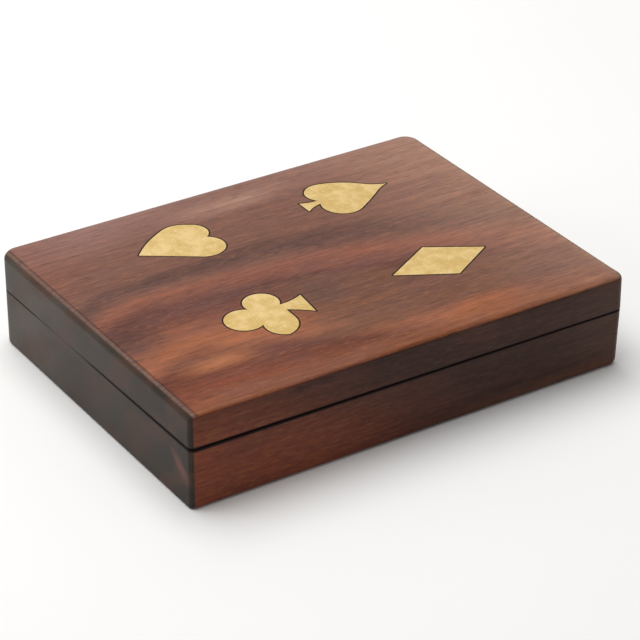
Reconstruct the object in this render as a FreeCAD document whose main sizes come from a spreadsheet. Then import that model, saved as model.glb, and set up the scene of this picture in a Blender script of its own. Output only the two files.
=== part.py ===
"""Hinged rosewood case for poker chips and two decks of cards.

Units are millimetres.  The origin is the centre of the footprint at the underside, +X runs along
the long side to the right, +Y runs to the hinged back and +Z is up.  The case is drawn closed.
"""
import FreeCAD, Part
import os

import Sketcher

Vector = FreeCAD.Vector
Rotation = FreeCAD.Rotation
Placement = FreeCAD.Placement

DRIVING_SIZES = [
    ("case_length", 200.0),
    ("case_width", 152.0),
    ("base_height", 25.0),
    ("lid_height", 15.5),
    ("front_corner_radius", 3.5),
    ("back_corner_radius", 6.5),
    ("top_edge_radius", 3.0),
    ("bottom_edge_radius", 2.8),
    ("seam_chamfer", 0.7),
    ("wall", 8.0),
    ("base_floor", 5.0),
    ("lid_panel", 6.0),
    ("hollow_corner_radius", 5.0),
    ("felt_thickness", 1.0),
    ("deck_well_length", 91.0),
    ("divider_thickness", 4.0),
    ("divider_height", 16.0),
    ("finger_notch_radius", 12.0),
    ("chip_board_thickness", 14.0),
    ("chip_well_radius", 20.5),
    ("inlay_thickness", 1.0),
    ("lac_line_width", 0.7),
    ("hinge_spacing", 120.0),
    ("hinge_length", 30.0),
    ("barrel_radius", 1.6),
    ("pin_radius", 0.7),
    ("pin_running_clearance", 0.06),
    ("pin_overhang", 0.3),
    ("knuckle_gap", 0.15),
    ("barrel_clearance", 0.25),
    ("leaf_thickness", 1.0),
    ("leaf_gap", 0.1),
    ("leaf_inner_edge", 5.8),
    ("leaf_outer_edge", 1.8),
    ("back_bevel_angle", 50.0),
    ("back_bevel_setback", 0.1),
    ("screw_row", 3.8),
    ("screw_spacing", 10.0),
    ("screw_head_radius", 1.6),
    ("screw_head_height", 0.8),
    ("screw_shank_radius", 0.8),
    ("screw_length", 8.0),
    ("screw_slot_width", 0.4),
    ("screw_slot_depth", 0.35),
]

CHIP_COLUMNS = 2
CHIP_ROWS = 3
KNUCKLES = 5
SCREWS_PER_LEAF = 3

# Each hand-cut suit is one closed outline: a start point, then straight cuts ("line", end) and
# rounded cuts ("arc", point on the way, end), as X and Y in millimetres on the lid.
SUIT_OUTLINES = {
    "heart": [
        (-54.7, 41.4),
        ("arc", (-46.8, 48.7), (-38.0, 54.2)),
        ("arc", (-31.3, 56.0), (-25.0, 53.5)),
        ("arc", (-20.4, 47.2), (-23.7, 40.5)),
        ("arc", (-20.0, 33.3), (-23.6, 27.1)),
        ("arc", (-28.6, 25.5), (-34.6, 27.7)),
        ("line", (-54.7, 41.4)),
    ],
    "spade": [
        (63.7, 40.9),
        ("arc", (59.0, 42.9), (54.7, 46.5)),
        ("arc", (47.6, 52.0), (39.0, 55.4)),
        ("arc", (32.1, 54.2), (29.1, 49.7)),
        ("arc", (29.3, 46.1), (31.0, 43.1)),
        ("arc", (27.3, 43.4), (23.1, 44.7)),
        ("line", (23.1, 36.8)),
        ("arc", (27.1, 39.2), (30.7, 40.2)),
        ("arc", (29.6, 34.3), (32.9, 28.4)),
        ("arc", (37.3, 26.5), (43.0, 27.7)),
        ("arc", (50.3, 32.4), (56.9, 37.2)),
        ("arc", (60.1, 39.3), (63.7, 40.9)),
    ],
    "club": [
        (-17.5, -20.3),
        ("arc", (-22.9, -22.2), (-28.4, -22.6)),
        ("arc", (-33.9, -10.3), (-40.9, -19.4)),
        ("arc", (-54.2, -25.6), (-41.8, -32.5)),
        ("arc", (-41.9, -39.4), (-37.1, -44.0)),
        ("arc", (-30.8, -40.3), (-28.3, -32.6)),
        ("line", (-28.1, -27.2)),
        ("arc", (-24.4, -29.7), (-19.1, -34.3)),
        ("line", (-17.5, -20.3)),
    ],
    "diamond": [
        (21.7, -26.9),
        ("line", (44.6, -13.9)),
        ("line", (66.0, -27.0)),
        ("line", (44.8, -39.7)),
        ("line", (21.7, -26.9)),
    ],
}

doc = FreeCAD.newDocument("PokerChipCase")
nodes = []


# ---------------------------------------------------------------- sizes and small tools

def make_sheet():
    """Put the driving sizes in a spreadsheet, one alias to a cell."""
    sheet = doc.addObject("Spreadsheet::Sheet", "Sizes")
    for row, (alias, number) in enumerate(DRIVING_SIZES, start=1):
        sheet.set(f"A{row}", alias)
        sheet.set(f"B{row}", str(number))
        sheet.setAlias(f"B{row}", alias)
    doc.recompute()
    return sheet


sheet = make_sheet()


def formula(words):
    """Turn a formula in size names, such as 'case_length - 2 * wall', into a FreeCAD expression."""
    for alias in sorted((name for name, _ in DRIVING_SIZES), key=len, reverse=True):
        words = words.replace(alias, f"<<{alias}>>")
    for alias, _ in DRIVING_SIZES:
        words = words.replace(f"<<{alias}>>", f"Sizes.{alias}")
    return words


def number_of(words):
    """The value of such a formula now, in millimetres."""
    return float(sheet.evalExpression(formula(words)))


def bind(thing, **formulas):
    """Bind properties of an object to formulas; Placement__Base__x stands for Placement.Base.x."""
    for name, words in formulas.items():
        thing.setExpression(name.replace("__", "."), formula(words))


def move_to(thing, x="0", y="0", z="0"):
    """Bind an object's place to formulas."""
    bind(thing, Placement__Base__x=x, Placement__Base__y=y, Placement__Base__z=z)


def node(thing, name):
    """Name a finished sub-part and put it on the list that is written out."""
    thing.Label = name
    nodes.append(thing)
    return thing


# ---------------------------------------------------------------- shared sizes as formulas

HOLLOW_LENGTH = "(case_length - 2 * wall)"
HOLLOW_WIDTH = "(case_width - 2 * wall)"
FELT_TOP = "(base_floor + felt_thickness)"
CASE_HEIGHT = "(base_height + lid_height)"
HINGE_AXIS_Y = "(case_width / 2 - barrel_radius)"
DIVIDER_LEFT = f"(deck_well_length - {HOLLOW_LENGTH} / 2)"
CHIP_BOARD_LENGTH = f"({HOLLOW_LENGTH} - deck_well_length - divider_thickness)"
OVERCUT = "1"


# ---------------------------------------------------------------- sketches and solids

def new_body(name):
    """A PartDesign body."""
    return doc.addObject("PartDesign::Body", name)


def sketch_on(body, name, role="XY_Plane", height="0"):
    """A sketch on one of a body's own origin planes, lifted along that plane's normal."""
    sketch = body.newObject("Sketcher::SketchObject", name)
    plane = next(each for each in body.Origin.OriginFeatures if each.Role == role)
    sketch.AttachmentSupport = [(plane, "")]
    sketch.MapMode = "FlatFace"
    bind(sketch, AttachmentOffset__Base__z=height)
    return sketch


def constrain(sketch, kind, *where, size=None):
    """Add one constraint, bound to a formula where it is a size."""
    if size is None:
        return sketch.addConstraint(Sketcher.Constraint(kind, *where))
    index = sketch.addConstraint(Sketcher.Constraint(kind, *where, number_of(size)))
    sketch.setExpression(f"Constraints[{index}]", formula(size))
    return index


def rectangle(sketch, length, width):
    """A rectangle centred on the sketch's origin."""
    x = number_of(length) / 2
    y = number_of(width) / 2
    corners = [Vector(-x, -y, 0), Vector(x, -y, 0), Vector(x, y, 0), Vector(-x, y, 0)]
    for start, end in zip(corners, corners[1:] + corners[:1]):
        sketch.addGeometry(Part.LineSegment(start, end))
    for line in range(4):
        constrain(sketch, "Coincident", line, 2, (line + 1) % 4, 1)
        constrain(sketch, "Horizontal" if line % 2 == 0 else "Vertical", line)
    constrain(sketch, "Symmetric", 0, 1, 1, 2, -1, 1)
    constrain(sketch, "DistanceX", 0, 1, 0, 2, size=length)
    constrain(sketch, "DistanceY", 1, 1, 1, 2, size=width)


def rounded_rectangle(sketch, length, width, radius):
    """A rectangle with four equal round corners, centred on the sketch's origin."""
    x = number_of(length) / 2
    y = number_of(width) / 2
    r = number_of(radius)
    middle = r * (1 - 0.5 ** 0.5)
    sides = [
        (Vector(r - x, -y, 0), Vector(x - r, -y, 0)),
        (Vector(x, r - y, 0), Vector(x, y - r, 0)),
        (Vector(x - r, y, 0), Vector(r - x, y, 0)),
        (Vector(-x, y - r, 0), Vector(-x, r - y, 0)),
    ]
    corner_middles = [
        Vector(x - middle, middle - y, 0),
        Vector(x - middle, y - middle, 0),
        Vector(middle - x, y - middle, 0),
        Vector(middle - x, middle - y, 0),
    ]
    for start, end in sides:
        sketch.addGeometry(Part.LineSegment(start, end))
    for corner, on_the_way in enumerate(corner_middles):
        after = sides[(corner + 1) % 4]
        sketch.addGeometry(Part.Arc(sides[corner][1], on_the_way, after[0]))
    for corner in range(4):
        arc = 4 + corner
        constrain(sketch, "Tangent", corner, 2, arc, 1)
        constrain(sketch, "Tangent", arc, 2, (corner + 1) % 4, 1)
        constrain(sketch, "Horizontal" if corner % 2 == 0 else "Vertical", corner)
        if corner:
            constrain(sketch, "Equal", 4, arc)
    constrain(sketch, "Symmetric", 4, 3, 6, 3, -1, 1)
    constrain(sketch, "DistanceX", 3, 1, 1, 1, size=length)
    constrain(sketch, "DistanceY", 0, 1, 2, 1, size=width)
    constrain(sketch, "Radius", 4, size=radius)


def pad(body, name, sketch, height):
    """Pad a sketch upwards."""
    feature = body.newObject("PartDesign::Pad", name)
    feature.Profile = sketch
    bind(feature, Length=height)
    doc.recompute()
    return feature


def pocket(body, name, sketch, depth, upwards=False):
    """Cut a sketch into a body, and make sure that it cut something."""
    before = body.Shape.Volume
    feature = body.newObject("PartDesign::Pocket", name)
    feature.Profile = sketch
    feature.Reversed = upwards
    bind(feature, Length=depth)
    doc.recompute()
    assert body.Shape.Volume < before, f"{name} cuts nothing"
    return feature


def edges_where(shape, test):
    """Names of the edges whose two ends and middle all pass a test."""
    names = []
    for index, edge in enumerate(shape.Edges, start=1):
        middle = edge.valueAt((edge.FirstParameter + edge.LastParameter) / 2)
        points = [vertex.Point for vertex in edge.Vertexes] + [middle]
        if all(test(point) for point in points):
            names.append(f"Edge{index}")
    return names


def dress(body, kind, name, base, test, size):
    """Fillet or chamfer the edges of a feature that pass a test."""
    feature = body.newObject(f"PartDesign::{kind}", name)
    feature.Base = (base, edges_where(base.Shape, test))
    bind(feature, **{"Radius" if kind == "Fillet" else "Size": size})
    doc.recompute()
    return feature


def at_height(height):
    """A test for points at one height."""
    return lambda point: abs(point.z - height) < 1e-6


def upright_edges(side):
    """A test for the upright edges at the front (-1) or the back (1) of the case's outline."""
    x = number_of("case_length") / 2
    y = number_of("case_width") / 2 * side
    return lambda point: abs(abs(point.x) - x) < 1e-6 and abs(point.y - y) < 1e-6


def box(name, start, size):
    """A box whose low corner and size are three formulas each."""
    thing = doc.addObject("Part::Box", name)
    bind(thing, Length=size[0], Width=size[1], Height=size[2])
    move_to(thing, *start)
    return thing


def rod_along_x(name, start, radius, length):
    """A cylinder that runs along +X from its start."""
    thing = doc.addObject("Part::Cylinder", name)
    thing.Placement = Placement(Vector(), Rotation(Vector(0, 1, 0), 90))
    bind(thing, Radius=radius, Height=length)
    move_to(thing, *start)
    return thing


def fuse(name, things):
    """Join several objects."""
    thing = doc.addObject("Part::MultiFuse", name)
    thing.Shapes = things
    return thing


def cut(name, base, tool):
    """Cut one object out of another."""
    thing = doc.addObject("Part::Cut", name)
    thing.Base = base
    thing.Tool = tool
    return thing


# ---------------------------------------------------------------- hinge screws

HINGES = {"left": "-hinge_spacing / 2", "right": "hinge_spacing / 2"}
HALVES = {"base": -1, "lid": 1}


def screw_places(half):
    """X, Y and Z formulas of each screw head's top, for the six screws of one half."""
    side = HALVES[half]
    for hinge_x in HINGES.values():
        for index in range(SCREWS_PER_LEAF):
            steps = index - (SCREWS_PER_LEAF - 1) / 2
            yield (
                f"{hinge_x} + ({steps}) * screw_spacing",
                f"{HINGE_AXIS_Y} - screw_row",
                f"base_height + ({side}) * leaf_gap / 2",
            )


def screw_blanks(half):
    """Countersunk screws without their slots: a cone head on a plain shank."""
    side = HALVES[half]
    away_from_head = Rotation() if side > 0 else Rotation(Vector(1, 0, 0), 180)
    parts = []
    for index, (x, y, z) in enumerate(screw_places(half)):
        head = doc.addObject("Part::Cone", f"{half}_screw_head_{index}")
        bind(head, Radius1="screw_head_radius", Radius2="screw_shank_radius", Height="screw_head_height")
        shank = doc.addObject("Part::Cylinder", f"{half}_screw_shank_{index}")
        bind(shank, Radius="screw_shank_radius", Height="screw_length - screw_head_height")
        for thing in (head, shank):
            thing.Placement = Placement(Vector(), away_from_head)
            parts.append(thing)
        move_to(head, x, y, z)
        move_to(shank, x, y, f"{z} + ({side}) * screw_head_height")
    return fuse(f"{half}_screw_blanks", parts)


def hinge_screws(half, blanks):
    """Cut a driver slot across each screw head."""
    slots = []
    for index, (x, y, z) in enumerate(screw_places(half)):
        low_face = z if half == "lid" else f"{z} - screw_slot_depth"
        start = (f"{x} - screw_slot_width / 2", f"{y} - screw_head_radius", low_face)
        size = ("screw_slot_width", "2 * screw_head_radius", "screw_slot_depth")
        slots.append(box(f"{half}_screw_slot_{index}", start, size))
    return node(cut(f"{half}_screws", blanks, fuse(f"{half}_screw_slots", slots)), f"{half}_hinge_screws")


# ---------------------------------------------------------------- butt hinges

KNUCKLE_LENGTH = f"((hinge_length - {KNUCKLES - 1} * knuckle_gap) / {KNUCKLES})"
LEAF_DEPTH = "(leaf_inner_edge - leaf_outer_edge)"


def leaf_low_face(half):
    """Height of a leaf's lower face when the case is shut."""
    if half == "lid":
        return "base_height + leaf_gap / 2"
    return "base_height - leaf_gap / 2 - leaf_thickness"


def hinge_leaf(side, half, blanks):
    """A stamped brass leaf: a flat plate, its rolled knuckles, the pin bore and the countersinks."""
    stem = f"{side}_{half}"
    hinge_start = f"{HINGES[side]} - hinge_length / 2"
    low_face = leaf_low_face(half)
    plate_start = (hinge_start, f"{HINGE_AXIS_Y} - leaf_inner_edge", low_face)
    pieces = [box(f"{stem}_plate", plate_start, ("hinge_length", LEAF_DEPTH, "leaf_thickness"))]
    first_knuckle = 0 if half == "base" else 1
    for index in range(first_knuckle, KNUCKLES, 2):
        knuckle_start = f"{hinge_start} + {index} * ({KNUCKLE_LENGTH} + knuckle_gap)"
        neck_start = (knuckle_start, f"{HINGE_AXIS_Y} - leaf_outer_edge", low_face)
        neck_size = (KNUCKLE_LENGTH, "leaf_outer_edge", "leaf_thickness")
        pieces.append(box(f"{stem}_neck_{index}", neck_start, neck_size))
        barrel_start = (knuckle_start, HINGE_AXIS_Y, "base_height")
        pieces.append(rod_along_x(f"{stem}_barrel_{index}", barrel_start, "barrel_radius", KNUCKLE_LENGTH))
    bore_radius = "pin_radius" if half == "base" else "pin_radius + pin_running_clearance"
    bore_start = (f"{hinge_start} - {OVERCUT}", HINGE_AXIS_Y, "base_height")
    bore = rod_along_x(f"{stem}_bore", bore_start, bore_radius, f"hinge_length + 2 * {OVERCUT}")
    removed = fuse(f"{stem}_removed", [bore, blanks])
    return node(cut(f"{stem}_leaf_body", fuse(f"{stem}_stamped", pieces), removed), f"{side}_hinge_{half}_leaf")


def hinge_pin(side):
    """The steel pin, held in the base leaf's knuckles."""
    start = (f"{HINGES[side]} - hinge_length / 2 - pin_overhang", HINGE_AXIS_Y, "base_height")
    pin = rod_along_x(f"{side}_pin", start, "pin_radius", "hinge_length + 2 * pin_overhang")
    return node(pin, f"{side}_hinge_pin")


def hinge_recess(side, half):
    """What is cut from one half of the case for a hinge: a leaf mortise and a round barrel groove."""
    stem = f"{side}_{half}"
    hinge_start = f"{HINGES[side]} - hinge_length / 2"
    low_face = leaf_low_face(half) if half == "base" else "base_height"
    mortise_start = (hinge_start, f"{HINGE_AXIS_Y} - leaf_inner_edge", low_face)
    mortise_size = ("hinge_length", "leaf_inner_edge", "leaf_thickness + leaf_gap / 2")
    mortise = box(f"{stem}_mortise", mortise_start, mortise_size)
    groove_start = (f"{hinge_start} - 2 * pin_overhang", HINGE_AXIS_Y, "base_height")
    groove_length = "hinge_length + 4 * pin_overhang"
    groove = rod_along_x(f"{stem}_groove", groove_start, "barrel_radius + barrel_clearance", groove_length)
    return [mortise, groove]


# ---------------------------------------------------------------- the two carved halves

def back_bevel(half):
    """The wedge planed off the back rim, so that the lid swings past upright and stops there."""
    upwards = HALVES[half] > 0
    length = f"case_length + 2 * {OVERCUT}"
    run = f"(barrel_radius + back_bevel_setback + {OVERCUT})"
    rise = f"{run} * tan(back_bevel_angle * 1deg)"
    wedge = doc.addObject("Part::Wedge", f"{half}_back_bevel")
    wedge.Placement = Placement(Vector(), Rotation(Vector(0, 0, 1), 180))
    bind(wedge, Xmin="0", Xmax=length, X2min="0", X2max=length)
    bind(wedge, Ymin="0", Ymax=run, Z2min="0", Z2max="0")
    bind(wedge, Zmin="0" if upwards else f"-{rise}", Zmax=rise if upwards else "0")
    move_to(wedge, f"case_length / 2 + {OVERCUT}", f"case_width / 2 + {OVERCUT}", "base_height")
    return wedge


def carved_blank(name, height, depth, round_edge_radius, half):
    """A block with rounded corners, one eased face, a chamfered rim and a round-cornered hollow."""
    body = new_body(name)
    outline = sketch_on(body, f"{name}_outline")
    rectangle(outline, "case_length", "case_width")
    block = pad(body, f"{name}_block", outline, height)
    for end, side in (("front", -1), ("back", 1)):
        corners = upright_edges(side)
        block = dress(body, "Fillet", f"{name}_{end}_corners", block, corners, f"{end}_corner_radius")
    full_height = number_of(height)
    eased, rim = (0, full_height) if half == "base" else (full_height, 0)
    eased_block = dress(body, "Fillet", f"{name}_eased_edge", block, at_height(eased), round_edge_radius)
    dress(body, "Chamfer", f"{name}_rim_chamfer", eased_block, at_height(rim), "seam_chamfer")
    mouth = sketch_on(body, f"{name}_mouth", height=height if half == "base" else "0")
    rounded_rectangle(mouth, HOLLOW_LENGTH, HOLLOW_WIDTH, "hollow_corner_radius")
    pocket(body, f"{name}_hollow", mouth, depth, upwards=half == "lid")
    return body


def base_block(blanks):
    """The lower half, with its hollow, back bevel, hinge recesses and screw holes."""
    blank = carved_blank(
        "base_blank", "base_height", "base_height - base_floor", "bottom_edge_radius", "base"
    )
    removed = [back_bevel("base"), blanks]
    for side in HINGES:
        removed += hinge_recess(side, "base")
    return node(cut("carved_base", blank, fuse("base_removed", removed)), "base_block")


def lid_block(blanks, suit_pockets):
    """The upper half, with its hollow, back bevel, hinge recesses, screw holes and suit pockets."""
    blank = carved_blank("lid_blank", "lid_height", "lid_height - lid_panel", "top_edge_radius", "lid")
    move_to(blank, z="base_height")
    removed = [back_bevel("lid"), blanks] + suit_pockets
    for side in HINGES:
        removed += hinge_recess(side, "lid")
    return node(cut("carved_lid", blank, fuse("lid_removed", removed)), "lid_block")


# ---------------------------------------------------------------- brass suits and their lac lines

def suit_outline(suit):
    """Draw a suit as a sketch at the depth of its pocket."""
    sketch = doc.addObject("Sketcher::SketchObject", f"{suit}_outline")
    start, *cuts = SUIT_OUTLINES[suit]
    here = Vector(*start, 0)
    for kind, *points in cuts:
        points = [Vector(*point, 0) for point in points]
        curve = Part.LineSegment(here, *points) if kind == "line" else Part.Arc(here, *points)
        index = sketch.addGeometry(curve)
        sketch.addConstraint(Sketcher.Constraint("Block", index))
        here = points[-1]
    move_to(sketch, z=f"{CASE_HEIGHT} - inlay_thickness")
    return sketch


def raised(name, profile, height):
    """Extrude a closed outline upwards into a solid."""
    solid = doc.addObject("Part::Extrusion", name)
    solid.Base = profile
    solid.DirMode = "Custom"
    solid.Dir = Vector(0, 0, 1)
    solid.Solid = True
    bind(solid, LengthFwd=height)
    return solid


def suit(name):
    """One brass suit, its lac line, and the pocket that both fill flush with the lid."""
    outline = suit_outline(name)
    brass = raised(f"{name}_brass", outline, "inlay_thickness")
    widened = doc.addObject("Part::Offset2D", f"{name}_widened")
    widened.Source = outline
    widened.Join = "Arc"
    bind(widened, Value="lac_line_width")
    pocket_solid = raised(f"{name}_pocket", widened, "inlay_thickness")
    node(brass, f"{name}_inlay")
    node(cut(f"{name}_lac", pocket_solid, brass), f"{name}_lac_line")
    return pocket_solid


# ---------------------------------------------------------------- linings and the fitted inside

def felt_sheet(name, z):
    """A felt lining that fills a hollow from wall to wall."""
    body = new_body(name)
    outline = sketch_on(body, f"{name}_outline")
    rounded_rectangle(outline, HOLLOW_LENGTH, HOLLOW_WIDTH, "hollow_corner_radius")
    pad(body, f"{name}_sheet", outline, "felt_thickness")
    move_to(body, z=z)
    return node(body, name)


def chip_board():
    """The board of bored wells that stands on the felt beside the decks."""
    body = new_body("board")
    outline = sketch_on(body, "board_outline")
    rectangle(outline, CHIP_BOARD_LENGTH, HOLLOW_WIDTH)
    plank = pad(body, "board_plank", outline, "chip_board_thickness")
    dress(body, "Fillet", "board_corners", plank, is_right_corner, "hollow_corner_radius")
    wells = sketch_on(body, "board_wells", height="chip_board_thickness")
    for index in range(CHIP_COLUMNS * CHIP_ROWS):
        column, row = divmod(index, CHIP_ROWS)
        x = f"(({column - (CHIP_COLUMNS - 1) / 2}) * {CHIP_BOARD_LENGTH} / {CHIP_COLUMNS})"
        y = f"(({row - (CHIP_ROWS - 1) / 2}) * {HOLLOW_WIDTH} / {CHIP_ROWS})"
        centre = Vector(number_of(x), number_of(y), 0)
        circle = Part.Circle(centre, Vector(0, 0, 1), number_of("chip_well_radius"))
        wells.addGeometry(circle)
        constrain(wells, "Radius", index, size="chip_well_radius")
        constrain(wells, "DistanceX", -1, 1, index, 3, size=x)
        constrain(wells, "DistanceY", -1, 1, index, 3, size=y)
    pocket(body, "board_bores", wells, "chip_board_thickness")
    move_to(body, f"{DIVIDER_LEFT} + divider_thickness + {CHIP_BOARD_LENGTH} / 2", "0", FELT_TOP)
    return node(body, "chip_board")


def is_right_corner(point):
    """True on the chip board's two upright edges that fit the hollow's round corners."""
    x = number_of(CHIP_BOARD_LENGTH) / 2
    y = number_of(HOLLOW_WIDTH) / 2
    return abs(point.x - x) < 1e-6 and abs(abs(point.y) - y) < 1e-6


def long_divider():
    """The strip between the decks and the chip board."""
    strip = box(
        "long_strip",
        (DIVIDER_LEFT, f"-{HOLLOW_WIDTH} / 2", FELT_TOP),
        ("divider_thickness", HOLLOW_WIDTH, "divider_height"),
    )
    return node(strip, "long_divider")


def deck_divider():
    """The strip between the two decks, with a round notch for the fingers."""
    strip = box(
        "deck_strip",
        (f"-{HOLLOW_LENGTH} / 2", "-divider_thickness / 2", FELT_TOP),
        ("deck_well_length", "divider_thickness", "divider_height"),
    )
    notch = doc.addObject("Part::Cylinder", "finger_notch")
    notch.Placement = Placement(Vector(), Rotation(Vector(1, 0, 0), 90))
    bind(notch, Radius="finger_notch_radius", Height=f"divider_thickness + 2 * {OVERCUT}")
    notch_x = f"(deck_well_length - {HOLLOW_LENGTH}) / 2"
    move_to(notch, notch_x, f"divider_thickness / 2 + {OVERCUT}", f"{FELT_TOP} + divider_height")
    return node(cut("notched_strip", strip, notch), "deck_divider")


# ---------------------------------------------------------------- the whole case

def build():
    """Make every sub-part in its place in the closed case."""
    blanks = {half: screw_blanks(half) for half in HALVES}
    suit_pockets = [suit(name) for name in SUIT_OUTLINES]
    base_block(blanks["base"])
    lid_block(blanks["lid"], suit_pockets)
    felt_sheet("base_felt", "base_floor")
    felt_sheet("lid_felt", f"{CASE_HEIGHT} - lid_panel - felt_thickness")
    chip_board()
    long_divider()
    deck_divider()
    for side in HINGES:
        hinge_pin(side)
        for half in HALVES:
            hinge_leaf(side, half, blanks[half])
    for half in HALVES:
        hinge_screws(half, blanks[half])


def write():
    """Check every object and write each sub-part to its own file."""
    doc.recompute()
    for thing in doc.Objects:
        failed = {"Invalid", "Error"} & set(thing.State)
        assert not failed, f"{thing.Name}: {thing.State}"
    os.makedirs("parts", exist_ok=True)
    for thing in nodes:
        shape = thing.Shape
        assert not shape.isNull() and shape.isValid(), f"{thing.Label} has no valid shape"
        shape.exportStep(f"parts/{thing.Label}.step")
        print(f"{thing.Label}: {len(shape.Solids)} solid(s), {shape.Volume:.1f} mm3")


build()
write()
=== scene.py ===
"""A low hinged rosewood case for poker chips and two decks of cards, with brass suits in its lid."""
import math

import bmesh
import bpy
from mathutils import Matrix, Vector


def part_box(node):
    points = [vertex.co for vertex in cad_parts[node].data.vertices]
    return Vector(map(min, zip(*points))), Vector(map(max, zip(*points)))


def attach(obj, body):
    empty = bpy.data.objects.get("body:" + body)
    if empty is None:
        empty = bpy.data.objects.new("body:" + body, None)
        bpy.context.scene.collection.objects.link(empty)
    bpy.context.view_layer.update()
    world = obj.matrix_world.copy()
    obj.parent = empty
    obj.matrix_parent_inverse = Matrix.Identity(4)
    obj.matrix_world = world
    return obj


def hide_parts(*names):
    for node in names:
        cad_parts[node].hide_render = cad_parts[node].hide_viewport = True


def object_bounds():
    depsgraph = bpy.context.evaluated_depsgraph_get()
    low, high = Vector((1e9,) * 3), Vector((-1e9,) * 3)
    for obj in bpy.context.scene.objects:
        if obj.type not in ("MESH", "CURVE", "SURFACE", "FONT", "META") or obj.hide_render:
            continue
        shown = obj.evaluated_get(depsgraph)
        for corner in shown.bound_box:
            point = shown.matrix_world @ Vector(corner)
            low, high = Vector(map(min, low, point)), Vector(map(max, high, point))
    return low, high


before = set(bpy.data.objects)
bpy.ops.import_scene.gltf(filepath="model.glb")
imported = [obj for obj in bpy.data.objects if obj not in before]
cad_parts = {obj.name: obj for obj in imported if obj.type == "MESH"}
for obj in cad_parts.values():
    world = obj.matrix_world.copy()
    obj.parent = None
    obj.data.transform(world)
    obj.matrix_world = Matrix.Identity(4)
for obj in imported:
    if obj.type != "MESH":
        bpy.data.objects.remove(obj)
cad_low, cad_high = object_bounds()
MM = 0.001


# ---------------------------------------------------------------- camera, floor and light
# The case is looked down on from its front left corner through a long lens.
# It stands on a seamless pale sweep under large soft lamps.

case_length = cad_high.x - cad_low.x
aim = Vector((0.0096, -0.0216, 0.077)) * case_length
turn, tilt = math.radians(-32.64), math.radians(29.83)
backwards = Vector((
    math.sin(turn) * math.cos(tilt),
    -math.cos(turn) * math.cos(tilt),
    math.sin(tilt),
))
camera_data = bpy.data.cameras.new("camera")
camera_data.lens = 157.7
camera_data.sensor_width = 36
camera = bpy.data.objects.new("camera", camera_data)
camera.location = aim + backwards * (5.628 * case_length)
camera.rotation_mode = "QUATERNION"
camera.rotation_quaternion = (-backwards).to_track_quat("-Z", "Y")
bpy.context.scene.collection.objects.link(camera)
bpy.context.scene.camera = camera
bpy.context.scene.view_settings.view_transform = "Standard"


def lamp(name, place, size, power, colour):
    """A soft rectangular lamp that faces the case."""
    data = bpy.data.lights.new(name, "AREA")
    data.shape = "RECTANGLE"
    data.size, data.size_y = size
    data.energy = power
    data.color = colour
    thing = bpy.data.objects.new(name, data)
    thing.location = place
    thing.rotation_mode = "QUATERNION"
    thing.rotation_quaternion = (-Vector(place)).to_track_quat("-Z", "Y")
    bpy.context.scene.collection.objects.link(thing)


lamp("overhead_softbox", (-0.15, 0.35, 1.3), (1.2, 1.2), 17.5, (1.0, 0.99, 0.97))
lamp("back_reflector", (0.85, 1.3, 0.85), (2.0, 1.3), 3, (1.0, 1.0, 1.0))
lamp("left_softbox", (-1.2, 0.5, 0.5), (0.9, 0.7), 2.5, (0.95, 0.99, 1.0))

world = bpy.data.worlds.new("studio")
world.use_nodes = True
world.node_tree.nodes["Background"].inputs["Color"].default_value = (1.0, 0.99, 0.98, 1.0)
world.node_tree.nodes["Background"].inputs["Strength"].default_value = 0.3
bpy.context.scene.world = world


# ---------------------------------------------------------------- mixing finishes
# Every finish is mixed with the same two tools: a value that can be added, multiplied and
# compared like a number, and a finish that takes nodes and feeds its surface.

class Value:
    """One output in a finish's node tree, used in sums."""

    def __init__(self, finish, socket):
        self.finish = finish
        self.socket = socket

    def sum_of(self, operation, *terms, clamp=False):
        sockets = dict(enumerate(terms))
        settings = {"operation": operation, "use_clamp": clamp}
        return self.finish.add("ShaderNodeMath", settings, sockets)

    def __add__(self, other):
        return self.sum_of("ADD", self, other)

    def __radd__(self, other):
        return self.sum_of("ADD", other, self)

    def __sub__(self, other):
        return self.sum_of("SUBTRACT", self, other)

    def __rsub__(self, other):
        return self.sum_of("SUBTRACT", other, self)

    def __mul__(self, other):
        return self.sum_of("MULTIPLY", self, other)

    def __rmul__(self, other):
        return self.sum_of("MULTIPLY", other, self)

    def __pow__(self, other):
        return self.sum_of("POWER", self, other)

    def above(self, other):
        """The larger of this and another value or number."""
        return self.sum_of("MAXIMUM", self, other)

    def size(self):
        """The same without its sign."""
        return self.sum_of("ABSOLUTE", self)

    def rise(self, start, end, low=0.0, high=1.0):
        """A smooth step from low at start to high at end."""
        settings = {"interpolation_type": "SMOOTHSTEP"}
        sockets = {"Value": self, "From Min": start, "From Max": end, "To Min": low, "To Max": high}
        return self.finish.add("ShaderNodeMapRange", settings, sockets)

    def bump_at(self, centre, reach):
        """One at a centre, falling smoothly to zero at a reach to either side."""
        return (self - centre).size().rise(0.0, reach, 1.0, 0.0)


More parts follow.
